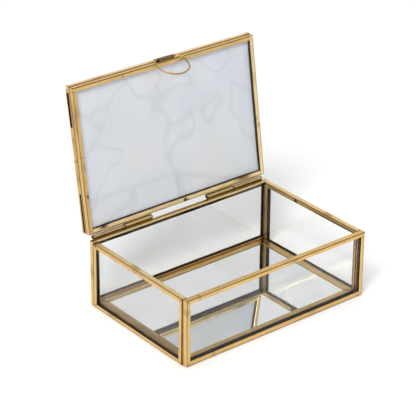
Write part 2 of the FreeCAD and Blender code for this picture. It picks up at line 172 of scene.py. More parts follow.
BRASS = brass("brass_strip", (0.87, 0.63, 0.29), (0.75, 0.49, 0.185), (0.58, 0.34, 0.105))
# a lighter copy of the strip brass: painted highlight for the lid's inner back and right strips
LIT_BRASS = brass("brass_strip_painted_highlight", (0.93, 0.76, 0.46), (0.86, 0.64, 0.32), (0.66, 0.43, 0.16))
TUBE = brass("brass_tube", (0.80, 0.66, 0.40), (0.62, 0.46, 0.22), (0.42, 0.29, 0.12), (0.18, 0.32))
WIRE = brass("brass_wire", (0.67, 0.46, 0.16), (0.53, 0.345, 0.10), (0.38, 0.235, 0.055), (0.34, 0.48))
STRAP = brass("brass_strap_dark", (0.54, 0.385, 0.19), (0.34, 0.225, 0.095), (0.17, 0.105, 0.04), (0.30, 0.46))


def simple(name, coord_scale, stops, metallic, rough, extra=None, detail=4.0, squeeze=(1, 1, 1), bump=0.0):
    """Principled with noise in its colour and roughness, in object coordinates."""
    m, nt, p = nodes_of(name)
    tc = nt.nodes.new("ShaderNodeTexCoord")
    mp = nt.nodes.new("ShaderNodeMapping")
    mp.inputs["Scale"].default_value = squeeze
    link(nt, tc.outputs["Object"], mp.inputs["Vector"])
    n = noise(nt, mp.outputs["Vector"], coord_scale, detail)
    c = ramp(nt, stops)
    link(nt, n.outputs["Fac"], c.inputs["Fac"])
    link(nt, c.outputs["Color"], p.inputs["Base Color"])
    rr = nt.nodes.new("ShaderNodeMapRange")
    rr.inputs["From Min"].default_value = 0.3
    rr.inputs["From Max"].default_value = 0.7
    rr.inputs["To Min"].default_value = rough[0]
    rr.inputs["To Max"].default_value = rough[1]
    link(nt, n.outputs["Fac"], rr.inputs["Value"])
    link(nt, rr.outputs["Result"], p.inputs["Roughness"])
    p.inputs["Metallic"].default_value = metallic
    for k, v in (extra or {}).items():
        p.inputs[k].default_value = v
    if bump:
        b = nt.nodes.new("ShaderNodeBump")
        b.inputs["Strength"].default_value = bump
        b.inputs["Distance"].default_value = 0.0002
        link(nt, n.outputs["Fac"], b.inputs["Height"])
        link(nt, b.outputs["Normal"], p.inputs["Normal"])
    return m




def clear_glass():
    """Thin clear panes: light passes straight through, with a gloss that grows towards grazing angles on both faces."""
    m, nt, p = nodes_of("clear_glass")
    nt.nodes.remove(p)
    out = next(n for n in nt.nodes if n.type == "OUTPUT_MATERIAL")
    tc = nt.nodes.new("ShaderNodeTexCoord")
    n = noise(nt, tc.outputs["Object"], 22.0, 4.0)
    tint = ramp(nt, [(0.3, (0.975, 0.984, 0.980)), (0.7, (0.992, 0.995, 0.993))])
    link(nt, n.outputs["Fac"], tint.inputs["Fac"])
    clear = nt.nodes.new("ShaderNodeBsdfTransparent")
    link(nt, tint.outputs["Color"], clear.inputs["Color"])
    gloss = nt.nodes.new("ShaderNodeBsdfGlossy")
    rr = nt.nodes.new("ShaderNodeMapRange")
    rr.inputs["From Min"].default_value = 0.3
    rr.inputs["From Max"].default_value = 0.7
    rr.inputs["To Min"].default_value = 0.005
    rr.inputs["To Max"].default_value = 0.03
    link(nt, n.outputs["Fac"], rr.inputs["Value"])
    link(nt, rr.outputs["Result"], gloss.inputs["Roughness"])
    lw = nt.nodes.new("ShaderNodeLayerWeight")
    lw.inputs["Blend"].default_value = 0.5
    pw = nt.nodes.new("ShaderNodeMath")
    pw.operation = "POWER"
    pw.inputs[1].default_value = 5.0
    link(nt, lw.outputs["Facing"], pw.inputs[0])
    ma = nt.nodes.new("ShaderNodeMath")
    ma.operation = "MULTIPLY_ADD"
    ma.inputs[1].default_value = 0.96
    ma.inputs[2].default_value = 0.04
    link(nt, pw.outputs[0], ma.inputs[0])
    mix = nt.nodes.new("ShaderNodeMixShader")
    link(nt, ma.outputs[0], mix.inputs[0])
    link(nt, clear.outputs[0], mix.inputs[1])
    link(nt, gloss.outputs[0], mix.inputs[2])
    link(nt, mix.outputs[0], out.inputs["Surface"])
    return m


GLASS = clear_glass()
MIRROR = simple("silvered_mirror", 30.0, [(0.25, (0.78, 0.79, 0.79)), (0.7, (0.86, 0.87, 0.87))], 1.0, (0.01, 0.03))
CEMENT = simple("black_cement", 700.0, [(0.3, (0.010, 0.009, 0.008)), (0.7, (0.030, 0.027, 0.025))], 0.0, (0.5, 0.75), bump=0.3)
STEEL = simple("steel_pin", 500.0, [(0.3, (0.30, 0.28, 0.26)), (0.7, (0.46, 0.44, 0.41))], 1.0, (0.25, 0.4), squeeze=(0.1, 1, 1))
BASE = simple("base_brass", 260.0, [(0.25, (0.52, 0.34, 0.14)), (0.7, (0.76, 0.54, 0.25))], 1.0, (0.30, 0.45), squeeze=(0.08, 1, 1), bump=0.08)


def art_material():
    """Pale wash: broad cloudy areas, soft drifting veins and a fine paper tooth."""
    m, nt, p = nodes_of("pale_wash_sheet")
    tc = nt.nodes.new("ShaderNodeTexCoord")
    big = noise(nt, tc.outputs["Object"], 16.0, 3.0, 0.5)
    wash = ramp(nt, [(0.30, (0.735, 0.752, 0.832)), (0.50, (0.790, 0.800, 0.850)), (0.72, (0.815, 0.798, 0.812))])
    link(nt, big.outputs["Fac"], wash.inputs["Fac"])
    warp = nt.nodes.new("ShaderNodeMix")
    warp.data_type = "VECTOR"
    warp.inputs["Factor"].default_value = 0.06
    link(nt, tc.outputs["Object"], warp.inputs[4])
    drift = noise(nt, tc.outputs["Object"], 9.0, 2.0, 0.5)
    link(nt, drift.outputs["Color"], warp.inputs[5])
    vein = noise(nt, warp.outputs[1], 26.0, 1.5, 0.4)
    dist = nt.nodes.new("ShaderNodeMath")
    dist.operation = "SUBTRACT"
    dist.inputs[1].default_value = 0.5
    link(nt, vein.outputs["Fac"], dist.inputs[0])
    ab = nt.nodes.new("ShaderNodeMath")
    ab.operation = "ABSOLUTE"
    link(nt, dist.outputs[0], ab.inputs[0])
    line = ramp(nt, [(0.0, grey(0.32)), (0.035, grey(0.0))])
    link(nt, ab.outputs[0], line.inputs["Fac"])
    mix = nt.nodes.new("ShaderNodeMix")
    mix.data_type = "RGBA"
    link(nt, line.outputs["Color"], mix.inputs["Factor"])
    link(nt, wash.outputs["Color"], mix.inputs[6])
    mix.inputs[7].default_value = (0.56, 0.59, 0.64, 1)
    link(nt, mix.outputs[2], p.inputs["Base Color"])
    tooth = noise(nt, tc.outputs["Object"], 1800.0, 2.0)
    rr = nt.nodes.new("ShaderNodeMapRange")
    rr.inputs["To Min"].default_value = 0.6
    rr.inputs["To Max"].default_value = 0.85
    link(nt, tooth.outputs["Fac"], rr.inputs["Value"])
    link(nt, rr.outputs["Result"], p.inputs["Roughness"])
    b = nt.nodes.new("ShaderNodeBump")
    b.inputs["Strength"].default_value = 0.08
    b.inputs["Distance"].default_value = 0.0001
    link(nt, tooth.outputs["Fac"], b.inputs["Height"])
    link(nt, b.outputs["Normal"], p.inputs["Normal"])
    return m


ART = art_material()


# ------------------------------------------------------------------ mesh helpers (millimetres in, metres out)
class Build:
    """Vertices with their strip coordinates and darkening (patina, painted shade and painted highlight), and faces, for
    one piece.
    """

    def __init__(self):
        self.v, self.s, self.t, self.f = [], [], [], []
        self.flat = set()

    def add(self, co, strip=(0, 0, 0), tarnish_shade_and_highlight=0.0):
        self.v.append(Vector(co))
        self.s.append(strip)
        self.t.append(tarnish_shade_and_highlight)
        return len(self.v) - 1

    def box(self, lo, hi, ch, strip=(0, 0), tarnish_shade_and_highlight=0.0):
        """A closed block with chamfered edges."""
        lo, hi = Vector(lo), Vector(hi)
        bm = bmesh.new()
        bmesh.ops.create_cube(bm, size=1.0)
        for q in bm.verts:
            q.co = Vector([lo[k] + (q.co[k] + 0.5) * (hi[k] - lo[k]) for k in range(3)])
        bmesh.ops.bevel(bm, geom=list(bm.edges), offset=ch, segments=2, affect="EDGES", profile=0.5)
        bm.verts.index_update()
        base = len(self.v)
        for q in bm.verts:
            self.add(q.co, ((q.co.x + strip[0]) * MM, (q.co.y + q.co.z + strip[1]) * MM, 0), tarnish_shade_and_highlight)
        for fc in bm.faces:
            self.flat.add(len(self.f))
            self.f.append([base + q.index for q in fc.verts])
        bm.free()

    def loft(self, pairs, rows, closed=False, skip=None):
        """pairs: not used (number of outer and inner points); rows[j][i] = (outer index, inner index)."""
        n, m = len(rows), len(rows[0])
        span = m if closed else m - 1
        for j in range(n - 1):
            for i in range(span):
                k = (i + 1) % m
                if skip and skip(j, i):
                    continue
                a, b, c, d = rows[j][i], rows[j + 1][i], rows[j + 1][k], rows[j][k]
                self.f.append([a[0], b[0], c[0], d[0]])
                self.f.append([a[1], d[1], c[1], b[1]])
            if not closed:
                for i in (0, m - 1):
                    a, b = rows[j][i], rows[j + 1][i]
                    self.f.append([a[0], b[0], b[1], a[1]])
        for j in (0, n - 1):
            for i in range(span):
                k = (i + 1) % m
                a, d = rows[j][i], rows[j][k]
                self.f.append([a[0], d[0], d[1], a[1]])

    def make(self, name, matrix, body, material, slot, replaces=(), angle=38.0):
        me = bpy.data.meshes.new(name)
        full = SCALE @ matrix
        me.from_pydata([tuple(full @ q) for q in self.v], [], self.f)
        a = me.attributes.new("strip", "FLOAT_VECTOR", "POINT")
        a.data.foreach_set("vector", [x for q in self.s for x in q])
        b = me.attributes.new("tarnish_shade_and_highlight", "FLOAT", "POINT")
        b.data.foreach_set("value", self.t)
        bm = bmesh.new()
        bm.from_mesh(me)
        bmesh.ops.recalc_face_normals(bm, faces=bm.faces)
        bm.to_mesh(me)
        bm.free()
        me.polygons.foreach_set("use_smooth", [True] * len(me.polygons))
        me.set_sharp_from_angle(angle=math.radians(angle))
        me.polygons.foreach_set("use_smooth", [k not in self.flat for k in range(len(me.polygons))])
        me.update()
        o = bpy.data.objects.new(name, me)
        bpy.context.scene.collection.objects.link(o)
        me.materials.append(material)
        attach(o, body)
        if replaces:
            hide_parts(*replaces)
        return o


def wobble(rnd, amp, waves):
    terms = [(rnd.uniform(0.5, 1.0), rnd.uniform(0.6, 1.4) * k, rnd.uniform(0, 6.28)) for k in waves]
    tot = sum(t[0] for t in terms)
    return lambda s: amp * sum(a * math.sin(6.283 * k * s + f) for a, k, f in terms) / tot


def u_profile(leg, th, leg2):
    """Outer and inner points of a folded U, from one leg tip round to the other (leg2: the second leg's width).
    Each entry: outer (y, z), inner (y, z), arc number (0 none, 1 first fold, 2 second fold), share of the fold."""
    ch, ri = 0.12, R - T
    out = [((leg, ch), (leg, T - ch), 0, 0.0), ((leg - ch, 0), (leg - ch, T), 0, 0.0)]
    for k in range(1, 5):
        y = leg - ch + (R - leg + ch) * k / 5
        out.append(((y, 0), (y, T), 0, 0.0))
    for k in range(0, 7):
        t = math.pi / 2 * k / 6
        out.append(((R - R * math.sin(t), R - R * math.cos(t)), (R - ri * math.sin(t), R - ri * math.cos(t)), 1, k / 6))
    for k in range(1, 8):
        z = R + (th - 2 * R) * k / 8
        out.append(((0, z), (T, z), 0, 0.0))
    for k in range(0, 7):
        t = math.pi / 2 * k / 6
        out.append(((R - R * math.cos(t), th - R + R * math.sin(t)), (R - ri * math.cos(t), th - R + ri * math.sin(t)), 2, 1 - k / 6))
    for k in range(1, 5):
        y = R + (leg2 - ch - R) * k / 5
        out.append(((y, th), (y, th - T), 0, 0.0))
    out += [((leg2 - ch, th), (leg2 - ch, th - T), 0, 0.0), ((leg2, th - ch), (leg2, th - T + ch), 0, 0.0)]
    return out


SEED = [0]


def channel(name, length, leg, th, start, end, matrix, body, valley=(), marks=(), slots=(), grooves=(), dull=0.0, splay=(),
            crease=(1.1, 0.75), line=(0.66, 0.28), clean=(), material=None, leg2=None, pale=0.0, inside=0.55):
    """A folded strip with hand-made unevenness. valley: folds that meet another strip (1, 2), darkened there with
    painted shade; clean: folds given a painted pale highlight.
    marks: (u, half width, z side or None, strength[, from, to as a share of the leg]) brown darkening: stains, and
    painted shade on faces in shadow. grooves: (u, depth)
    cross seams. splay: (u from, u full, u full, u to, z from, z full, amount) bends one face outwards. pale: painted
    highlight on the web; inside: painted shade on the hidden side."""
    SEED[0] += 1
    rnd = random.Random(911 + SEED[0])
    prof = u_profile(leg, th, leg2 or leg)
    wz, wy, wl = wobble(rnd, 0.045, (2, 5, 9)), wobble(rnd, 0.05, (1, 3, 7)), wobble(rnd, 0.13, (2, 6, 13))
    xs = set()
    n = max(12, int(length / 2.4))
    for j in range(n + 1):
        xs.add(round(length * j / n, 3))
    for u, _ in grooves:
        for d in (-0.55, -0.22, 0.0, 0.22, 0.55):
            xs.add(round(u + d, 3))
    for u, hw, *_ in marks:
        for k in range(-3, 4):
            xs.add(round(u + hw * k / 2.5, 3))
    for a, b, *_ in slots:
        xs.update((a, b))
    for q in (0.15, 0.5, 1.0, 1.7, length - 0.15, length - 0.5, length - 1.0, length - 1.7):
        xs.add(q)
    xs = sorted(q for q in xs if 0 <= q <= length)
    keep = [xs[0]]
    exact = {a for s in slots for a in s[:2]}
    for q in xs[1:]:
        if q - keep[-1] < 0.09 and q not in exact and q != length:
            continue
        if q - keep[-1] < 0.09 and (q in exact or q == length) and keep[-1] not in exact and len(keep) > 1:
            keep.pop()
        keep.append(q)
    xs = keep
    shift = 13.7 * SEED[0]
    arc = [0.0]
    for a, b in zip(prof, prof[1:]):
        arc.append(arc[-1] + math.dist(a[0], b[0]))

    def ends(y):
        a = start[1] * (y / leg if start[0] == "mitre" else 1.0 if start[0] == "short" else 0.0)
        b = end[1] * (y / leg if end[0] == "mitre" else 1.0 if end[0] == "short" else 0.0)
        return a, length - b

    B = Build()
    rows = []
    for j, xj in enumerate(xs):
        s = xj / length
        row = []
        for i, (po, pi, fold, share) in enumerate(prof):
            ids = []
            for side, (y, z) in enumerate((po, pi)):
                a, b = ends(min(y, leg))
                x = a + (b - a) * s
                # stations keep their own place away from the ends
                if a < xj < b and min(xj - a, b - xj) > 0.2 and (start[0] != "mitre" or xj > leg * 1.6) and (end[0] != "mitre" or xj < length - leg * 1.6):
                    x = xj
                yy, zz = y, z
                near = min(x - a, b - x)
                fade = min(1.0, near / 6.0)
                zz += wz(s) * fade * (1 if y > R else 0.4)
                yy += (wy(s) * fade if fold == 0 and y < R else 0.0)
                if y > leg * 0.7:
                    yy += wl(s) * fade
                for a0, a1, a2, a3, z0, z1, amt in splay:
                    k = min(1.0, max(0.0, (x - a0) / (a1 - a0)), max(0.0, (a3 - x) / (a3 - a2)))
                    zz += amt * k * min(1.0, max(0.0, (z - z0) / (z1 - z0)))
                for u, depth in grooves:
                    g = math.exp(-((x - u) / 0.3) ** 2) * depth
                    if side == 0 and g > 0.003:
                        cy, cz = min(max(y, 1.2), leg), th / 2
                        dy, dz = (1, 0) if y < 0.01 else (0, 1 if z < th / 2 else -1)
                        yy += dy * g
                        zz += dz * g
                if j in (0, len(xs) - 1) and side == 0:
                    yy += (pi[0] - po[0]) * 0.25
                    zz += (pi[1] - po[1]) * 0.25
                t = dull
                # painted shade: a dark line along each outer fold
                if fold and fold not in valley and fold not in clean and side == 0:
                    t = max(t, line[0] * math.exp(-((share - 0.12) / line[1]) ** 2))
                # painted shade in the valley where this strip meets another
                if fold in valley:
                    t = max(t, crease[0] * (1 - share) ** crease[1])
                if near < 1.2:
                    t = max(t, 0.62 * math.exp(-(near / 0.45) ** 2))
                for u, hw, zs, amt, *yr in marks:
                    if zs is None or (zs == "web" and y < 0.6) or (zs != "web" and abs(z - zs) < 0.7):
                        side_fall = 1.0
                        if yr:
                            out = max(0.0, yr[0] * leg - y, y - yr[1] * leg)
                            side_fall = math.exp(-(out / 0.35) ** 2)
                        t = max(t, amt * side_fall * math.exp(-((x - u) / hw) ** 2))
                for u, depth in grooves:
                    t = max(t, min(0.75, 2.4 * depth) * math.exp(-((x - u) / 0.35) ** 2))
                # painted highlight on the chosen folds, and a paler web
                if fold in clean and side == 0:
                    t = min(t, -0.7)
                elif y < 0.6 and t < 0.12:
                    t -= pale
                # painted shade on the hidden inner side of the strip
                if side == 1:
                    t = max(t, inside)
                ids.append(B.add((x, yy, zz), ((x + shift) * MM, (arc[i] + side * 40 + 7.3 * SEED[0]) * MM, 0), t))
            row.append(tuple(ids))
        rows.append(row)

    web = [i for i, q in enumerate(prof) if abs(q[0][0]) < 1e-6 and R - 1e-6 <= q[0][1] <= th - R + 1e-6]
    spans = []
    for a, b, lo, hi in slots:
        j0 = min(range(len(xs)), key=lambda j: abs(xs[j] - a))
        j1 = min(range(len(xs)), key=lambda j: abs(xs[j] - b))
        i0 = min(web, key=lambda i: abs(prof[i][0][1] - lo))
        i1 = min(web, key=lambda i: abs(prof[i][0][1] - hi))
        spans.append((j0, j1, i0, i1))
    skip = None
    if spans:
        skip = lambda j, i: any(a <= j < b and c <= i < d for a, b, c, d in spans)
        for a, b, c, d in spans:
            for j in range(a, b):
                for i in (c, d):
                    p, q = rows[j][i], rows[j + 1][i]
                    B.f.append([p[0], q[0], q[1], p[1]])
            for j in (a, b):
                for i in range(c, d):
                    p, q = rows[j][i], rows[j][i + 1]
                    B.f.append([p[0], q[0], q[1], p[1]])
    B.loft(None, rows, skip=skip)
    for kind, x0, x1 in ((start[0], 0.03, T), (end[0], length - T, length - 0.03)):
        if kind == "full":
            B.box((x0, T - 0.1, T - 0.1), (x1, leg, th - T + 0.1), 0.06, (shift, 0), 0.12)
    return B.make(name + "_folded", matrix, body, material or BRASS, "brass", [name])


# ------------------------------------------------------------------ the walls
EX = dict(L=W, hi=4.1, lo=5.2, st=4.0, th=5.0)
SX = dict(L=2 * Y1, hi=4.7, lo=3.6, st=4.7, th=4.6)
FX = dict(EX, lo=4.6)
WALLS = [
    ("front", FX, [("bottom_rail", (X2, -D / 2, 0), (0, 0, 1)), ("top_rail", (-X2, -D / 2, H), (0, 0, -1)),
                   ("left_stile", (-X2, -D / 2, 0), (1, 0, 0)), ("right_stile", (X2, -D / 2, H), (-1, 0, 0))], (0, 1, 0)),
    ("back", EX, [("bottom_rail", (-X2, D / 2, 0), (0, 0, 1)), ("top_rail", (X2, D / 2, H), (0, 0, -1)),
                  ("left_stile", (-X2, D / 2, H), (1, 0, 0)), ("right_stile", (X2, D / 2, 0), (-1, 0, 0))], (0, -1, 0)),
    ("left", SX, [("bottom_rail", (-X2, -Y1, 0), (0, 0, 1)), ("top_rail", (-X2, Y1, H), (0, 0, -1)),
                  ("front_stile", (-X2, -Y1, H), (0, 1, 0)), ("back_stile", (-X2, Y1, 0), (0, -1, 0))], (1, 0, 0)),
    ("right", SX, [("bottom_rail", (X2, Y1, 0), (0, 0, 1)), ("top_rail", (X2, -Y1, H), (0, 0, -1)),
                   ("front_stile", (X2, -Y1, 0), (0, 1, 0)), ("back_stile", (X2, Y1, H), (0, -1, 0))], (-1, 0, 0)),
]
SQUARE = {"front_top_rail": ("mitre", "full"), "front_right_stile": ("short", "full"),
          "front_bottom_rail": ("short", "mitre")}
MARKS = {
    "front_top_rail": [(14, 1.5, None, 0.35), (118, 5, 0, 0.3)],
    "front_bottom_rail": [(60, 7, 0, 0.28), (171, 3, 0, 0.3)],
    "front_left_stile": [(52, 4, None, 0.3)],
    "left_top_rail": [(3, 2.0, None, 0.75), (60, 6, None, 0.25), (60, 300, 0, 0.14)],
    "left_bottom_rail": [(100, 6, None, 0.3)],
    # back_top_rail: painted shade and painted reflection of the dark lid on the inner face, less on the web
    "back_top_rail": [(100, 400, 5.0, 0.70, 0.18, 1.0), (62, 17, 5.0, 1.0, 0.18, 1.0), (92, 18, 5.0, 1.0, 0.18, 1.0),
                      (172, 26, 5.0, 0.85, 0.18, 1.0), (100, 400, "web", 0.2)],
    # right_top_rail: painted shade over the inner face and a painted shadow line at its lower edge towards the front
    "right_top_rail": [(82, 2.4, 4.6, 1.0, 0.36, 1.0), (40, 6, "web", 0.25), (63, 300, 4.6, 0.36, 0.12, 1.0), (112, 24, 4.6, 0.52, 0.1, 1.0), (26, 44, 4.6, 1.0, 0.78, 1.0)],
    "right_front_stile": [(30, 40, None, 0.34)],
    "right_back_stile": [(31, 80, None, 0.50)],
    "back_bottom_rail": [(70, 9, None, 0.3)],
    "back_left_stile": [(30, 8, None, 0.35)],
    "back_right_stile": [(30, 8, None, 0.35)],
    "right_bottom_rail": [(80, 8, None, 0.3)],
}
VALLEY = {"front_left_stile": (2,), "front_right_stile": (2,), "back_left_stile": (2,), "back_right_stile": (2,),
          "left_front_stile": (1, 2), "left_back_stile": (1, 2), "right_front_stile": (1, 2), "right_back_stile": (1, 2)}
# strength and width of the painted shade line along the folds
FOLD_SHADE = {"front_top_rail": (0.80, 0.30), "front_bottom_rail": (0.70, 0.28), "left_top_rail": (0.74, 0.30), "back_top_rail": (0.85, 0.6)}
SPLAY = {"left_bottom_rail": [(-2, -1, 200, 201, 4.6, 0.6, -1.0)], "left_top_rail": [(-2, -1, 200, 201, 4.6, 0.6, -0.3)],
         "left_front_stile": [(-27, 63.5, 200, 201, 4.6, 0.6, -1.0)], "left_back_stile": [(-2, -1, 0, 90.5, 4.6, 0.6, -1.0)]}
LEG2 = {"front_bottom_rail": 5.2, "left_back_stile": 2.9, "right_front_stile": 3.0}
# painted highlight on the web (top face) of these rails
WEB_HIGHLIGHT = {"left_top_rail": 0.75, "right_top_rail": 0.45}
for wall, ex, strips, zdir in WALLS:
    for part, origin, ydir in strips:
        name = wall + "_" + part
        k0, k1 = SQUARE.get(name, ("mitre", "mitre"))
        M = frame_at(origin, ydir, zdir)
        kw = dict(valley=VALLEY.get(name, ()), marks=MARKS.get(name, ()), line=FOLD_SHADE.get(name, (0.66, 0.28)),
                  splay=SPLAY.get(name, ()), leg2=LEG2.get(name), pale=WEB_HIGHLIGHT.get(name, 0.0),
                  # inside: painted shade on the hidden side, lighter on these two strips
                  inside={"left_bottom_rail": 0.12, "front_right_stile": 0.2}.get(name, 0.55))
        if name == "back_top_rail":
            # the inner fold of the back top rail gets a painted highlight
            kw.update(clean=(2,), material=TUBE)
        if part == "bottom_rail":
            channel(name, ex["L"], ex["lo"], ex["th"], (k0, ex["st"]), (k1, ex["st"]), M, "box", **kw)
        elif part == "top_rail":
            channel(name, ex["L"], ex["hi"], ex["th"], (k0, ex["st"]), (k1, ex["st"]), M, "box", **kw)
        else:
            up = Vector(ydir).cross(Vector(zdir)).z > 0
            m0, m1 = (ex["lo"], ex["hi"]) if up else (ex["hi"], ex["lo"])
            channel(name, H, ex["st"], ex["th"], (k0, m0), (k1, m1), M, "box", **kw)


def pane(name, lx, ly, z0, z1, matrix, body, node):
    B = Build()
    B.box((0, 0, z0), (lx, ly, z1), 0.18)
    return B.make(name, matrix, body, GLASS, "glass", [node], 30)


def bead(B, lx, ly, width, z0, z1, seed, extra=(0.0,) * 4, amp=0.16):
    """A flat ring of cement round a pane, with an uneven inner edge."""
    rnd = random.Random(seed)
    wx, wy = width
    oc = [(0, 0), (lx, 0), (lx, ly), (0, ly)]
    ic = [(wx[0], wy[0]), (lx - wx[1], wy[0]), (lx - wx[1], ly - wy[1]), (wx[0], ly - wy[1])]
    inward = [(0, 1), (-1, 0), (0, -1), (1, 0)]
    rows = []
    for q in range(4):
        ln = math.dist(oc[q], oc[(q + 1) % 4])
        n = max(8, int(ln / 2.2))
        w = wobble(rnd, amp, (4, 11, 23))
        for k in range(n):
            s = k / n
            po = [oc[q][c] + (oc[(q + 1) % 4][c] - oc[q][c]) * s for c in (0, 1)]
            pi = [ic[q][c] + (ic[(q + 1) % 4][c] - ic[q][c]) * s for c in (0, 1)]
            d = (w(s) + extra[q]) * (min(1, min(s, 1 - s) * 12) if k else 0)
            pi = [pi[c] + inward[q][c] * d for c in (0, 1)]
            rows.append((B.add((*po, z0)), B.add((*pi, z0)), B.add((*pi, z1)), B.add((*po, z1))))
    n = len(rows)
    for j in range(n):
        a, b = rows[j], rows[(j + 1) % n]
        for e in range(4):
            B.f.append([a[e], b[e], b[(e + 1) % 4], a[(e + 1) % 4]])


IN = 1.1
# PROUD: the bead is cement; widening it past the leg's edge gives a dark line that is painted shade of the gap between
# leg and pane
PROUD = {"left": (0.45, 0.1, 0.0, 0.0), "front": (0.15, 0.0, 0.0, 0.0)}
CUT = {"left": (0.0, 2.4, 2.3, 0.0), "front": (1.9, 0.0, 0.0, 0.0)}
for wall, ex, origin, zdir in (("front", EX, (X2, -D / 2, 0), (0, 1, 0)), ("back", EX, (-X2, D / 2, 0), (0, -1, 0)),
                               ("left", SX, (-X2, -Y1, 0), (1, 0, 0)), ("right", SX, (X2, Y1, 0), (-1, 0, 0))):
    seat = (ex["th"] - 3.0) / 2
    M = frame_at(origin, (0, 0, 1), zdir) @ Matrix.Translation((IN, IN, seat))
    lx, ly = ex["L"] - 2 * IN, H - 2 * IN
    pane(wall + "_pane", lx, ly, 0, 3.0, M, "box", wall + "_glass")
    bt = seat - T
    B = Build()
    wd = ((ex["st"] - IN,) * 2, (ex["lo"] - IN, ex["hi"] - IN))
    bead(B, lx, ly, wd, -bt + 0.01, -0.01, 31 + len(wall), PROUD.get(wall, (0.0,) * 4))
    c = CUT.get(wall, (0.0,) * 4)
    wd = ((wd[0][0] - c[0], wd[0][1] - c[1]), (wd[1][0] - c[2], wd[1][1] - c[3]))
    bead(B, lx, ly, wd, 3.01, 3.0 + bt - 0.01, 57 + len(wall))
    B.make(wall + "_cement_beads", M, "box", CEMENT, "cement", [wall + "_glazing_cement"], 30)

# ------------------------------------------------------------------ base
XB = X2 - 4.6
for side, length, origin, ydir in (
        ("front", 2 * XB, (-XB, -Y1, 3.1), (0, 1, 0)), ("back", 2 * XB, (XB, Y1, 3.1), (0, -1, 0)),
        ("left", 2 * Y1, (-XB, Y1, 3.1), (1, 0, 0)), ("right", 2 * Y1, (XB, -Y1, 3.1), (-1, 0, 0))):
    SEED[0] += 1
    rnd = random.Random(5 + SEED[0])
    wl, wz = wobble(rnd, 0.10, (3, 8, 17)), wobble(rnd, 0.03, (2, 7))
    B, rows = Build(), []
    n = int(length / 2.5)
    ys = [0.05, 0.2, 1.5, 3.0, 4.5, 5.6, 6.3, 6.5]
    for j in range(n + 1):
        s = j / n
        row = []
        for i, y in enumerate(ys):
            yy = y + (wl(s) * min(1, min(s, 1 - s) * 20) if y > 4 else 0)
            x = y + (length - 2 * y) * s
            ch = 0.12 if i in (0, len(ys) - 1) else 0.0
            near = min(x - y, length - y - x)
            # painted shade: darker next to the wall, at the corners and over the whole strip, most on the left; the
            # underside (0.5) darker too
            t = max(0.46 if side == "left" else 0.30, 0.8 * math.exp(-(near / 0.6) ** 2), 0.55 * (1 - y / 2.5))
            st = ((x + 13.7 * SEED[0]) * MM, (y + 7.3 * SEED[0]) * MM, 0)
            z = 0.6 + wz(s) * min(1, min(s, 1 - s) * 20)
            row.append((B.add((x, yy, z - ch), st, t), B.add((x, yy, 0.0 + ch), st, 0.5)))
        rows.append(row)
    B.loft(None, rows)
    B.make("base_ledge_%s_strip" % side, frame_at(origin, ydir, (0, 0, 1)), "box", BRASS, "brass", ["base_ledge_" + side])

# ------------------------------------------------------------------ lid
LID_MARKS = {
    "lid_inner_back": [(93.5, 1.8, 0, 1.0, 0.1, 0.75), (90.5, 1.2, 0, 0.9, 0.0, 0.4), (184, 5, 0, 0.75, 0.5, 1.0), (25, 9, 0, 0.6, 0.45, 1.0)],
    # lid_inner_left: its web darkened towards the top as painted shade
    "lid_inner_left": [(34.5, 1.9, 0, 0.95, 0.64, 1.0), (70.6, 0.7, 0, 0.4), (62, 5, 0, 0.45, 0.6, 1.0), (110, 8, 0, 0.25), (106, 24, "web", 0.38)],
    "lid_inner_front": [(53, 0.8, 0, 0.7, 0.5, 0.85), (118, 9, 0, 0.4, 0.5, 1.0)],
    "lid_inner_right": [(85, 2.6, 0, 0.36, 0.2, 0.9), (78, 4, 0, 0.3, 0.6, 1.0), (40, 8, 0, 0.2)],
    "lid_outer_left": [(66.5, 0.8, "web", 0.6), (50, 9, None, 0.4), (85, 7, "web", 0.35)],
    "lid_outer_front": [(30, 9, None, 0.25)],
    "lid_outer_back": [(60, 12, None, 0.35), (150, 9, None, 0.3)],
    "lid_outer_right": [(70, 10, None, 0.3)],
}
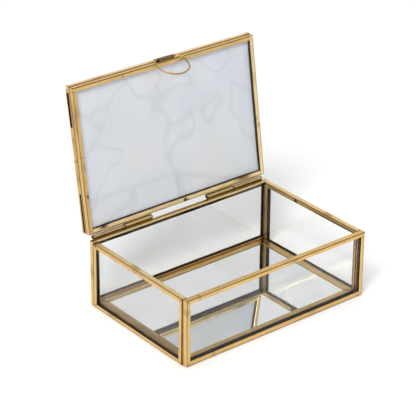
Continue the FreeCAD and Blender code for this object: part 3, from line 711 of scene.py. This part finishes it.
# strength and falloff of the painted shade in the valley where the two lid frames meet
CREASE = {"front": (0.58, 2.2), "left": (1.1, 0.75), "right": (1.0, 1.3), "back": (1.0, 1.3)}
DULL = {"lid_outer_left": 0.22, "lid_inner_left": 0.16, "lid_outer_back": 0.2, "lid_outer_front": 0.05}
LID_GROOVES = {"lid_inner_left": [(70.6, 0.14)], "lid_outer_left": [(66.5, 0.24)], "lid_inner_back": [(93.5, 0.2)],
               "lid_outer_back": [(101, 0.2)]}
for layer, th, depth, z0, yf in (("inner", 4.4, 133.5, ZI, YF), ("outer", 4.6, 134.5, ZM, YO)):
    for side, length, origin, ydir in (
            ("back", W, (X2, YB, z0), (0, -1, 0)), ("front", W, (-X2, yf, z0), (0, 1, 0)),
            ("left", depth, (-X2, YB, z0), (1, 0, 0)), ("right", depth, (X2, yf, z0), (-1, 0, 0))):
        k0, k1 = {"back": ("short", "short"), "front": ("full", "short"), "left": ("full", "short"), "right": ("full", "full")}[side]
        name = "lid_%s_%s" % (layer, side)
        slots = [(0.8, 36.5, 0.8, 2.8), (97.0, 129.4, 1.2, 3.5)] if name == "lid_outer_left" else ()
        # the webs of the lid's front edge get a painted highlight (pale)
        channel(name, length, LEG, th, (k0, LEG), (k1, LEG), LID @ frame_at(origin, ydir, (0, 0, 1)), "lid",
                valley=(2,) if layer == "inner" else (1,), marks=LID_MARKS.get(name, ()), slots=slots,
                grooves=LID_GROOVES.get(name, ()), dull=DULL.get(name, 0.0),
                splay=[(-2, -1, 200, 201, 0.0, 4.6, 1.4), (-2, -1, -1, 38, 2.35, 2.6, 0.35), (80, 129, 129.5, 130.4, 3.05, 3.4, 0.6)] if slots else (),
                pale={"lid_outer_front": 0.45, "lid_inner_front": 0.45}.get(name, 0.0), crease=CREASE[side], line=(0.78, 0.34) if name == "lid_inner_front" else (0.66, 0.28),
                material=LIT_BRASS if name in ("lid_inner_back", "lid_inner_right") else None)

lx = W - 2 * IN
ly = 133.5 - 2 * IN
M = LID @ Matrix.Translation((-X2 + IN, YF + IN, ZI + 0.9))
pane("lid_inner_pane", lx, ly, 0.0, 2.08, M, "lid", "lid_inner_glass")
B = Build()
wd = ((LEG - IN,) * 2, (LEG - IN,) * 2)
bead(B, lx, ly, wd, -0.39, -0.01, 71)
bead(B, lx, ly, wd, 2.61, 2.99, 72)
# a thin black film of cement between pane and sheet; the dark border it gives stands partly for painted shade inside
# the channel
bead(B, lx, ly, wd, 2.10, 2.18, 73, (0.62,) * 4, 0.06)
B.make("lid_inner_cement_beads", M, "lid", CEMENT, "cement", ["lid_inner_glazing_cement"], 30)
ly = 134.5 - 2 * IN
M = LID @ Matrix.Translation((-X2 + IN, YO + IN, ZM + 4.6 - 0.9 - 2.2))
pane("lid_outer_pane", lx, ly, 0.0, 2.2, M, "lid", "lid_outer_glass")
B = Build()
bead(B, lx, ly, wd, -0.39, -0.01, 81)
bead(B, lx, ly, wd, 2.21, 2.59, 82)
# cement that beds the pane's edge, seen through the slots in the left side, where it also stands for painted shade
# inside the slots
B.box((-0.2, 0.4, -0.95), (-0.02, ly - 0.4, 2.55), 0.05)
B.make("lid_outer_cement_beads", M, "lid", CEMENT, "cement", ["lid_outer_glazing_cement"], 30)


# ------------------------------------------------------------------ hinges
def tube(B, x0, x1, ro, ri, seam, seed, n=40):
    """A rolled tube along X with rounded rims and a seam."""
    rnd = random.Random(seed)
    w = wobble(rnd, 0.03, (2, 5))
    k = max(8, int((x1 - x0) / 2.5))
    xs = [x0, x0 + 0.08, x0 + 0.2] + [x0 + (x1 - x0) * j / k for j in range(1, k)] + [x1 - 0.2, x1 - 0.08, x1]
    rows = []
    for j, x in enumerate(xs):
        row = []
        e = 0.12 if j in (0, len(xs) - 1) else 0.04 if j in (1, len(xs) - 2) else 0.0
        for i in range(n):
            a = 2 * math.pi * i / n
            da = (a - seam + math.pi) % (2 * math.pi) - math.pi
            dip = 0.22 * math.exp(-(da / 0.09) ** 2)
            r = ro - e - dip + w(x / 40.0)
            st = ((x + 300 + 13 * seed) * MM, (a * ro + 9 * seed) * MM, 0)
            near = min(x - x0, x1 - x)
            # dark along the seam and at the rims; the bore (0.8) gets painted shade
            t = max(0.85 * math.exp(-(da / 0.12) ** 2), 0.6 * math.exp(-(near / 0.5) ** 2))
            q = ri + e * 0.6
            row.append((B.add((x, r * math.cos(a), r * math.sin(a)), st, t),
                        B.add((x, q * math.cos(a), q * math.sin(a)), st, 0.8)))
        rows.append(row)
    B.loft(None, rows, closed=True)


AX = Matrix.Translation((0, HY, HZ))
for side, sg in (("left", -1), ("right", 1)):
    a, b = 62.2, 96.5
    x0, x1 = (a, b) if sg > 0 else (-b, -a)
    B = Build()
    tube(B, x0, x1, 1.6, 1.06, math.radians(200), 3 + sg)
    B.box((x0, -0.906, -1.483 - 3.6), (x1, -0.306, -0.95), 0.12, (700, 3 * sg), 0.2)
    B.make("box_knuckle_%s_tube" % side, AX, "box", TUBE, "brass", ["box_knuckle_" + side])
    a, b = 31.0, 61.8
    x0, x1 = (a, b) if sg > 0 else (-b, -a)
    B = Build()
    tube(B, x0, x1, 1.6, 1.1, math.radians(100), 7 + sg)
    B.box((x0, YB, 1.02), (x1, -0.3, 1.58), 0.12, (800, 3 * sg), 0.2)
    B.box((x0, YB, ZI + 0.9), (x1, YB + 0.6, ZI + 7.2), 0.12, (900, 5 * sg), 0.2)
    f0, f1 = (61.0, 96.5) if sg > 0 else (-96.5, -61.0)
    B.box((f0, YB, 1.02), (f1, -1.55, 1.58), 0.1, (820, 3 * sg), 0.25)
    B.box((f0, YB, ZI + 0.9), (f1, YB + 0.6, ZI + 7.2), 0.12, (920, 5 * sg), 0.2)
    k0 = len(B.v)
    B.box((x0, -0.906 + 0.06, -3.6), (x1, -0.906 + 0.76, -1.1), 0.12, (950, 5 * sg), 0.2)
    turn = Matrix.Rotation(math.radians(98.73), 4, "X")
    for k in range(k0, len(B.v)):
        B.v[k] = turn @ B.v[k]
    B.make("lid_knuckle_%s_tube" % side, LID, "lid", TUBE, "brass", ["lid_knuckle_" + side])

# ------------------------------------------------------------------ ring pull
path = [(0.50, 5.8), (0.47, 5.0), (0.5, 4.2), (0.52, 3.4), (0.52, 2.7), (0.35, 2.15)]
path += [(0.05 - 1.25 * math.cos(math.radians(q)), 1.22 * math.sin(math.radians(q))) for q in range(80, -81, -16)]
path += [(0.5, -1.42), (1.1, -1.6), (1.46, -1.75), (1.5, -1.95)]
nrm = []
for i in range(len(path)):
    a, b = Vector(path[max(0, i - 1)]), Vector(path[min(len(path) - 1, i + 1)])
    d = (b - a).normalized()
    nrm.append((-d.y, d.x))
if nrm[0][0] < 0:
    nrm = [(-a, -b) for a, b in nrm]
rnd = random.Random(77)
w1, w2 = wobble(rnd, 0.09, (1, 3, 6)), wobble(rnd, 0.35, (1, 2))
B, rows = Build(), []
arc = [0.0]
for a, b in zip(path, path[1:]):
    arc.append(arc[-1] + math.dist(a, b))
N = 26
for j in range(N + 1):
    s = j / N
    row = []
    for i, (p, n) in enumerate(zip(path, nrm)):
        half = 8.5 + w2(arc[i] / 9.0) * (1 if s > 0.5 else 0.6)
        x = -half + 2 * half * s
        d = w1(s + 0.1 * i)
        th = 0.42 if 0 < j < N else 0.26
        near = min(s, 1 - s) * 17
        # painted shade at the strap's ends and along its bend over the frame's step; the hidden side (0.8) gets painted
        # shade too
        t = max(0.95 * math.exp(-(near / 1.1) ** 2), 0.35, 0.7 * math.exp(-((p[1] - 2.3) / 0.4) ** 2))
        st = ((x + 555) * MM, (arc[i] + 3) * MM, 0)
        y, z = p[0] + d * 0.4, p[1]
        row.append((B.add((x, y, z), st, t), B.add((x, y + n[0] * th, z + n[1] * th), st, 0.8)))
    rows.append(row)
B.loft(None, rows)
B.make("pull_strap_sheet", PULL, "lid", STRAP, "dark_brass", ["pull_strap"], 50)

RR, C, BE, WR = 15.2, 10.6, 2.5, 0.68
bx = math.sqrt((RR - BE) ** 2 - (C - BE) ** 2)
ux, uy = bx / (RR - BE), (BE - C) / (RR - BE)
pts = [(-bx + 2 * bx * k / 16, 0.0) for k in range(16)]
a1 = math.atan2(uy, ux)
pts += [(bx + BE * math.cos(a), BE + BE * math.sin(a)) for a in [-math.pi / 2 + (a1 + math.pi / 2) * k / 10 for k in range(10)]]
pts += [(RR * math.cos(a), C + RR * math.sin(a)) for a in [a1 + (math.pi - 2 * a1) * k / 120 for k in range(120)]]
pts += [(-bx + BE * math.cos(a), BE + BE * math.sin(a)) for a in [math.pi - a1 + (a1 + math.pi / 2) * k / 10 for k in range(10)]]
B, rows = Build(), []
n = len(pts)
rnd = random.Random(9)
w1 = wobble(rnd, 0.05, (3, 5))
run = 0.0
for j in range(n + 1):
    p, q, r = Vector(pts[j % n]), Vector(pts[(j + 1) % n]), Vector(pts[(j - 1) % n])
    d = (q - r).normalized()
    nn = Vector((-d.y, d.x))
    row = []
    for i in range(17):
        a = 2 * math.pi * i / 16
        rad = WR + 0.08 * min(1.0, max(0.0, min(j - 16, n - j) / 6))
        off = nn * (rad * math.cos(a))
        lift = w1(j / n) if 26 < j < n - 10 else 0.0
        row.append(B.add((p.x + off.x, p.y + off.y, rad * math.sin(a) + lift), ((run + 777) * MM, (rad * a) * MM, 0), 0.05))
    rows.append(row)
    run += (q - p).length
# weld the seam of the section and of the loop
for j in range(n):
    for i in range(16):
        ii = (i + 1) % 16
        jj = (j + 1) % n
        B.f.append([rows[j][i], rows[jj][i], rows[jj][ii], rows[j][ii]])
used = sorted({k for f in B.f for k in f})
remap = {k: e for e, k in enumerate(used)}
B.v, B.s, B.t = [B.v[k] for k in used], [B.s[k] for k in used], [B.t[k] for k in used]
B.f = [[remap[k] for k in f] for f in B.f]
B.make("ring_pull_wire", PULL @ Matrix.Rotation(math.radians(-90 + 22.9), 4, "X"), "ring_pull", WIRE, "brass", ["ring_pull"], 60)

# ------------------------------------------------------------------ CAD pieces that stay
for node, mat in (("base_sheet", BASE), ("base_mirror", MIRROR), ("lid_art_sheet", ART),
                  ("hinge_pin_left", STEEL), ("hinge_pin_right", STEEL)):
    o = NODES[node]
    o.data.materials.clear()
    o.data.materials.append(mat)

# ------------------------------------------------------------------ floor, light, camera
me = bpy.data.meshes.new("floor")
s = 7.0
me.from_pydata([(-s, -s, 0), (s, -s, 0), (s, s, 0), (-s, s, 0)], [], [(0, 1, 2, 3)])
floor = bpy.data.objects.new("floor", me)
floor.location.z = -0.0002
bpy.context.scene.collection.objects.link(floor)
me.materials.append(simple("pale_floor", 3.0, [(0.3, (0.90, 0.90, 0.90)), (0.7, (0.915, 0.915, 0.915))], 0.0, (0.7, 0.8)))

world = bpy.data.worlds.new("studio")
bpy.context.scene.world = world
world.use_nodes = True
nt = world.node_tree
bg = next(n for n in nt.nodes if n.type == "BACKGROUND")
tc = nt.nodes.new("ShaderNodeTexCoord")
dot = nt.nodes.new("ShaderNodeVectorMath")
dot.operation = "DOT_PRODUCT"
dot.inputs[1].default_value = (-0.52, -0.80, -0.30)
link(nt, tc.outputs["Generated"], dot.inputs[0])
mr = nt.nodes.new("ShaderNodeMapRange")
mr.inputs["From Min"].default_value = -0.5
mr.inputs["From Max"].default_value = 0.9
mr.inputs["To Min"].default_value = 0.87
mr.inputs["To Max"].default_value = 0.37
link(nt, dot.outputs["Value"], mr.inputs["Value"])
link(nt, mr.outputs["Result"], bg.inputs["Strength"])
bg.inputs["Color"].default_value = (1, 1, 1, 1)


def area(name, loc, target, size, power, size_y=None):
    l = bpy.data.lights.new(name, "AREA")
    l.energy = power
    l.size = size
    if size_y:
        l.shape, l.size_y = "RECTANGLE", size_y
    o = bpy.data.objects.new(name, l)
    o.location = loc
    o.rotation_euler = (Vector(target) - Vector(loc)).to_track_quat("-Z", "Y").to_euler()
    bpy.context.scene.collection.objects.link(o)
    return o


area("key", (-3.72, -2.28, 4.96), (0, 0, 0.05), 2.2, 250)
area("top", (0.3, -0.4, 2.8), (0, 0, 0.05), 2.2, 4)
area("left", (-2.6, -0.5, 0.9), (0, 0, 0.1), 1.2, 3)

back = Vector((-0.5624, -0.6921, 0.4525)).normalized()
fwd = -back
right = fwd.cross(Vector((0, 0, 1))).normalized()
up = right.cross(fwd)
r = math.radians(0.454)
right2 = right * math.cos(r) + up * math.sin(r)
up2 = up * math.cos(r) - right * math.sin(r)
loc = Vector((-0.0229, 0.0, 0.09812)) + back * 1.5761
cam = bpy.data.cameras.new("camera")
cam.lens, cam.sensor_width = 158.74, 36.0
cam.clip_start, cam.clip_end = 0.05, 50.0
camo = bpy.data.objects.new("camera", cam)
camo.matrix_world = Matrix(((right2.x, up2.x, back.x, loc.x), (right2.y, up2.y, back.y, loc.y), (right2.z, up2.z, back.z, loc.z), (0, 0, 0, 1)))
bpy.context.scene.collection.objects.link(camo)
bpy.context.scene.camera = camo
bpy.context.scene.view_settings.view_transform = "Standard"
